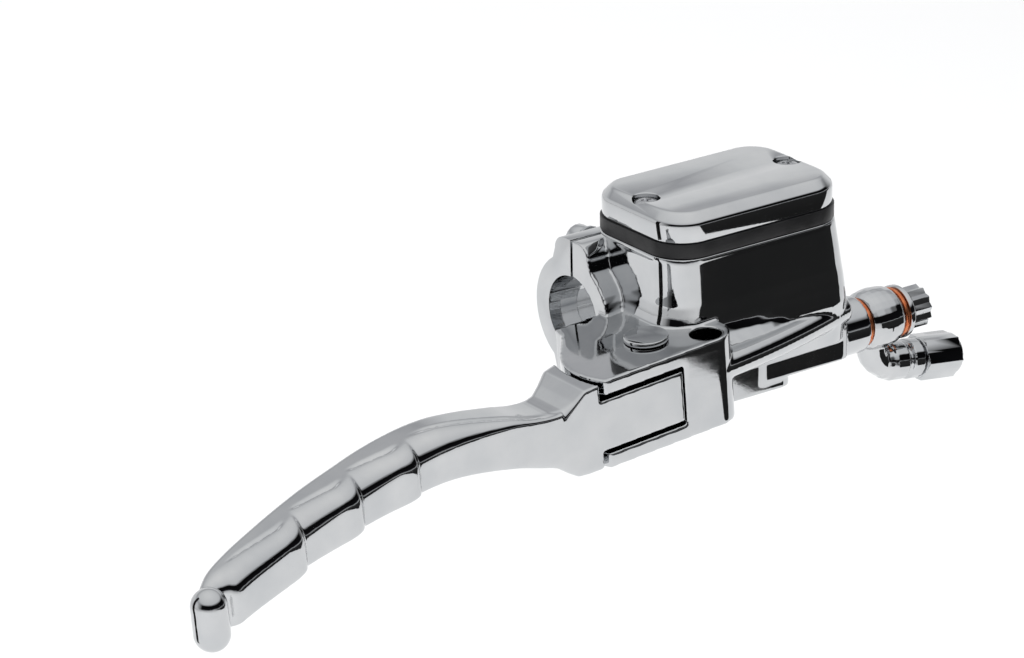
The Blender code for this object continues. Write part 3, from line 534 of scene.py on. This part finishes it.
# Distance outboard of the pivot, front face, underside, height and depth of the blade.
STATIONS = (
    (22.0, -15.8, -14.7, 28.9, 24.5),
    (30.0, -15.8, -14.7, 28.9, 24.0),
    (35.5, -15.8, -14.7, 28.5, 22.5),
    (39.5, -15.8, -14.3, 25.4, 20.5),
    (43.0, -15.8, -12.0, 21.4, 18.8),
    (47.0, -15.8, -8.9, 18.0, 17.6),
    (54.0, -15.8, -6.4, 16.6, 16.6),
    (62.0, -15.7, -3.8, 16.2, 16.0),
    (76.0, -15.2, -0.9, 16.0, 15.8),
    (86.5, -14.8, 0.1, 16.0, 15.8),
    (97.0, -14.6, -0.5, 16.0, 15.8),
    (109.0, -15.2, -1.9, 16.0, 15.6),
    (119.5, -16.8, -3.2, 16.0, 15.2),
    (133.0, -19.0, -5.0, 16.0, 14.6),
    (143.0, -21.2, -6.4, 16.0, 14.0),
    (155.0, -24.2, -8.6, 16.2, 13.4),
    (167.0, -27.2, -11.2, 16.6, 12.4),
    (176.0, -30.0, -13.6, 16.6, 11.6),
    (181.5, -32.4, -15.0, 16.4, 9.4),
)
# Each finger pad: where it starts and ends, and how far it stands proud.
PADS = ((40.0, 97.0, 0.0), (97.0, 119.5, 3.0), (119.5, 143.0, 3.0), (143.0, 171.0, 3.0))
# A pad swells to its full height over this length from its inboard end.
PAD_NOSE = 7.5
# The blade starts here, a little inside the end of the shoulder taken from the frame.
BLADE_ROOT = 44.0
ROOT_OVERLAP = 4.0
# The waist between the last pad and the tip: how deep, and where it starts and ends.
WAIST_DEPTH, WAIST_START, WAIST_END = 3.6, 170.5, 175.5
CREASE_DEPTH = 0.8
# The hollow behind a crown: how far back across the top each point lies, and its share of the depth.
CREASE_LINE = ((0.06, 0.3), (0.14, 1.0), (0.22, 0.3), (0.3, 0.0), (0.6, 0.0))
HEEL_RADIUS = 1.4
TIP_CENTRE = (-181.5, -28.5)
TIP_RADIUS = 5.6
TIP_LOW, TIP_HIGH = -16.6, 3.4


def blade_at(distance):
    """The blade's four sizes at a distance outboard, on a smooth curve through the stations."""
    last = len(STATIONS) - 1
    index = max(i for i in range(last) if STATIONS[i][0] <= distance)
    low, high = STATIONS[index], STATIONS[index + 1]
    before, after = STATIONS[max(0, index - 1)], STATIONS[min(last, index + 2)]
    span = high[0] - low[0]
    t = (distance - low[0]) / span
    sizes = []
    for column in range(1, 5):
        start = span * (high[column] - before[column]) / (high[0] - before[0])
        end = span * (after[column] - low[column]) / (after[0] - low[0])
        value = (2 * t**3 - 3 * t**2 + 1) * low[column] + (t**3 - 2 * t**2 + t) * start
        value += (-2 * t**3 + 3 * t**2) * high[column] + (t**3 - t**2) * end
        sizes.append(value)
    return sizes


def eased_step(value, start, end):
    """0 before start, 1 after end, and a smooth S between."""
    share = min(1.0, max(0.0, (value - start) / (end - start)))
    return share * share * (3 - 2 * share)


def pad_at(distance):
    """(how proud, radius of the crown, depth of the crease behind it) of the finger pad at a distance."""
    start, end, proud = next((pad for pad in PADS if distance < pad[1]), PADS[-1])
    share = min(1.0, (distance - start) / (end - start))
    nose = min(1.0, (distance - start) / PAD_NOSE)
    stand = proud * (1 - (1 - nose) ** 2) ** 0.5 * (1 - share)
    crown = 0.8 + 6.4 * eased_step(share, 0.1, 1.0) if proud == 0 else 7.6 - 2.4 * nose + 2.4 * share
    crease = CREASE_DEPTH * eased_step(share, 0.12, 0.35) * (1 - eased_step(share, 0.72, 0.98))
    return stand, crown, crease


def blade_section(distance):
    """Points round the blade, clockwise from the crowned front shoulder."""
    front, low, height, depth = blade_at(distance)
    stand, crown, crease = pad_at(distance)
    waist = WAIST_DEPTH * eased_step(distance, WAIST_START, WAIST_END)
    front += waist - stand
    depth += stand - waist
    top = low + height
    back = front + depth
    crown = min(crown, depth * 0.62)
    heel = HEEL_RADIUS
    line = []
    for k in range(17):
        turn = radians(180 - 90 * k / 16)
        line.append((front + crown + crown * cos(turn), top - crown + crown * sin(turn)))
    behind = front + crown
    room = back - heel - behind
    for share, sink in CREASE_LINE:
        line.append((behind + share * room, top - crease * sink))
    corners = (
        (back - heel, top - heel, 90, 0),
        (back - heel, low + heel, 0, -90),
        (front + heel, low + heel, -90, -180),
    )
    for y, z, start, end in corners:
        for k in range(5):
            turn = radians(start + (end - start) * k / 4)
            line.append((y + heel * cos(turn), z + heel * sin(turn)))
    return [LEAN @ (Vector((-distance, y, z)) * MM) for y, z in line]


def blade():
    """The blade, drawn out from its root section, one extrusion after another."""
    distance, last = BLADE_ROOT, STATIONS[-1][0]
    section = blade_section(distance)
    bpy.ops.object.select_all(action="DESELECT")
    bpy.ops.mesh.primitive_circle_add(vertices=len(section), radius=0.01, fill_type="NGON")
    piece = name_it("lever_blade")
    for vert, place in zip(piece.data.vertices, section):
        vert.co = place
    in_edit(piece, "FACE", lambda face: True)
    bpy.ops.mesh.duplicate()
    while distance < last - 0.01:
        fine = any(start <= distance < start + PAD_NOSE for start, _, proud in PADS if proud)
        distance = min(last, distance + (0.35 if fine else 1.2))
        bpy.ops.mesh.extrude_region_move()
        following = blade_section(distance)
        bm = bmesh.from_edit_mesh(piece.data)
        corners = list(next(face for face in bm.faces if face.select).verts)
        count = len(corners)
        first = min(range(count), key=lambda k: (corners[k].co - section[0]).length)
        way = 1 if (corners[(first + 1) % count].co - section[1]).length < 1e-7 else -1
        for k, place in enumerate(following):
            corners[(first + way * k) % count].co = place
        section = following
        bmesh.update_edit_mesh(piece.data)
    bpy.ops.mesh.select_all(action="SELECT")
    bpy.ops.mesh.remove_doubles(threshold=WELD)
    bpy.ops.mesh.normals_make_consistent(inside=False)
    out_of_edit()
    return piece


def lever_tip():
    """The capsule at the lever's end: a ball stretched along its own upright axis."""
    half = (TIP_HIGH - TIP_LOW) / 2
    middle = LEAN @ (Vector((*TIP_CENTRE, (TIP_HIGH + TIP_LOW) / 2)) * MM)
    bpy.ops.object.select_all(action="DESELECT")
    bpy.ops.mesh.primitive_uv_sphere_add(segments=64, ring_count=32, radius=TIP_RADIUS * MM)
    tip = name_it("lever_tip")
    for side in (-1, 1):
        in_edit(tip, "VERT", lambda vert: side * vert.co.z > 0.5e-6)
        bpy.ops.transform.translate(value=(0, 0, side * (half - TIP_RADIUS) * MM))
        out_of_edit()
    return fix_place(tip, Matrix.Translation(middle) @ LEAN.to_3x3().to_4x4())


def lever():
    """Hub and shoulder from the frame, with the blade and its tip drawn out from them, under one skin."""
    piece = cad_copy("brake_lever", "brake_lever_polished")
    in_edit(piece, "FACE", lambda face: True)
    bpy.ops.mesh.bisect(
        plane_co=LEAN @ (Vector((-BLADE_ROOT - ROOT_OVERLAP, 0, 0)) * MM),
        plane_no=LEAN.to_3x3() @ Vector((-1, 0, 0)),
        use_fill=True,
        clear_outer=True,
    )
    out_of_edit()
    parts = [blade(), lever_tip()]
    select_only(piece)
    for part in parts:
        part.select_set(True)
    bpy.ops.object.join()
    skinned(piece, 0.4, 3)
    return dress(piece, LEVER_CHROME, "lever_chrome", "lever", "brake_lever")


# Banjo fitting --------------------------------------------------------------------------------------


def fitting():
    """The banjo's eye, bent neck and ribbed tail, melted together as one polished forging."""
    piece = skinned(cad_copy("banjo_fitting", "banjo_fitting_polished"), 0.3, 4)
    return dress(piece, CHROME, "chrome_plate", "perch", "banjo_fitting")


# What is left of the frame --------------------------------------------------------------------------


def softened_parts():
    """Turned and moulded parts whose shape is right: a copy of each with its edges eased."""
    widths = {
        "banjo_bolt": 0.35,
        "hose_nut": 0.5,
        "banjo_washer_inner": 0.35,
        "banjo_washer_outer": 0.35,
        "pivot_pin": 0.2,
        "clamp_screw_upper": 0.25,
        "clamp_screw_lower": 0.25,
        "clamp_washer_upper": 0.2,
        "clamp_washer_lower": 0.2,
    }
    slots = {part["node"]: part["material_slot"] for part in frame["record"]["subparts"]}
    for node, width in widths.items():
        piece = eased(cad_copy(node, f"{node}_finished"), width)
        body = next(name for name, members in BODIES.items() if node in members)
        dress(piece, LOOKS[slots[node]], slots[node], body, node)


# Studio ---------------------------------------------------------------------------------------------

# Sizes from here on are in metres.
FLOOR_Z = -0.30
FLOOR_SIZE = 12.0
# Each card: its middle, its size across and along, and its turn.
CARDS = {
    "flag_front_right": ((1.734, -1.6, -0.16), (3.0, 2.8), (0, 0, 0)),
    "flag_left": ((-0.42, 0.16, -0.02), (0.12, 0.55), (radians(90), 0, radians(70))),
}
# Each lamp: its place, its side and its power in watts.
LAMPS = {
    "soft_box_top": ((0.1, -0.5, 1.4), 1.4, 12.0),
    "soft_box_left": ((-1.5, -0.4, 0.9), 1.0, 7.0),
    "soft_box_back": ((0.4, 1.5, 1.3), 1.6, 9.0),
}
# The room's colours from straight down, 0, over the horizon, 0.5, to straight up, 1.
AIR_AHEAD = (
    (0.0, "#E8E8E8"),
    (0.50, "#A8A9AB"),
    (0.525, "#141416"),
    (0.70, "#0A0A0B"),
    (0.78, "#E4E5E7"),
    (1.0, "#FFFFFF"),
)
AIR_BEHIND = (
    (0.0, "#E8E8E8"),
    (0.50, "#F2F2F3"),
    (0.66, "#EAEBEC"),
    (0.74, "#BDBEC1"),
    (0.84, "#E9EAEB"),
    (1.0, "#FFFFFF"),
)
# The camera's turn to the left of the front, its height and its roll, as angles.
CAMERA_TURN = (radians(-35.0), radians(21.5), radians(1.2))
CAMERA_PLACE = Vector((-0.79239, -1.07932, 0.51975))
SENSOR_WIDTH, LENS = 36.0, 156.8


def plain_look(name, colour, roughness):
    return new_material(name, 0.0, roughness, colour)[0]


def air():
    """The room: bright overhead, a pale sweep behind, and a dark band along the horizon in front."""
    world = bpy.data.worlds.new("studio_air")
    bpy.context.scene.world = world
    world.use_nodes = True
    tree = world.node_tree
    sky = tree.nodes["Background"]
    coords = add_node(tree, "ShaderNodeTexCoord")
    parts = add_node(tree, "ShaderNodeSeparateXYZ", None, [("Vector", coords, "Generated")])
    height = ranged(tree, parts, "Z", 0.0, 1.0, -1.0, 1.0)
    ahead = tinted(tree, height, "Result", *AIR_AHEAD)
    behind = tinted(tree, height, "Result", *AIR_BEHIND)
    facing = ranged(tree, parts, "Y", 0.0, 1.0, -0.25, 0.35)
    mixed = add_node(
        tree,
        "ShaderNodeMix",
        {"data_type": "RGBA"},
        [("Factor", facing, "Result"), (6, ahead, "Color"), (7, behind, "Color")],
    )
    tree.links.new(mixed.outputs[2], sky.inputs["Color"])
    sky.inputs["Strength"].default_value = 1.0


def studio():
    """A pale floor, broad soft lamps, and dark cards that only the chrome sees."""
    bpy.ops.object.select_all(action="DESELECT")
    bpy.ops.mesh.primitive_plane_add(size=FLOOR_SIZE, location=(0, 0, FLOOR_Z))
    floor = name_it("studio_floor")
    floor.data.materials.append(plain_look("matt_paper_white", "#F4F4F4", 0.9))
    for name, (place, size, turn) in CARDS.items():
        bpy.ops.object.select_all(action="DESELECT")
        bpy.ops.mesh.primitive_plane_add(size=1.0, location=place, rotation=turn)
        card = name_it(name)
        card.scale = (*size, 1.0)
        card.data.materials.append(plain_look(f"{name}_black_felt", "#050505", 1.0))
        card.visible_camera = False
        card.visible_diffuse = False
        card.visible_shadow = False
    for name, (place, size, power) in LAMPS.items():
        bpy.ops.object.light_add(type="AREA", location=place)
        lamp = bpy.context.object
        lamp.name = name
        lamp.data.shape = "SQUARE"
        lamp.data.size = size
        lamp.data.energy = power
        lamp.visible_glossy = False
        lamp.rotation_euler = (-Vector(place)).to_track_quat("-Z", "Y").to_euler()
    air()


def camera():
    """A long lens from the front left, a little above, rolled slightly."""
    azimuth, height, roll = CAMERA_TURN
    back = Vector((sin(azimuth) * cos(height), -cos(azimuth) * cos(height), sin(height)))
    side = Vector((cos(azimuth), sin(azimuth), 0.0))
    up = back.cross(side)
    right = side * cos(roll) - up * sin(roll)
    top = side * sin(roll) + up * cos(roll)
    made = bpy.data.cameras.new("product_camera")
    made.sensor_width = SENSOR_WIDTH
    made.lens = LENS
    made.clip_start = 0.05
    made.clip_end = 30.0
    eye = bpy.data.objects.new("product_camera", made)
    turn = Matrix((right, top, back)).transposed()
    eye.matrix_world = Matrix.Translation(CAMERA_PLACE) @ turn.to_4x4()
    bpy.context.scene.collection.objects.link(eye)
    bpy.context.scene.camera = eye


camera()
paint_frame()
casting()
clamp_half()
cover()
for where, place in zip(("outboard", "inboard"), SCREW_PLACES):
    cover_screw(where, place)
rim_rubber()
lever()
fitting()
softened_parts()
studio()
bpy.context.scene.view_settings.view_transform = "Standard"
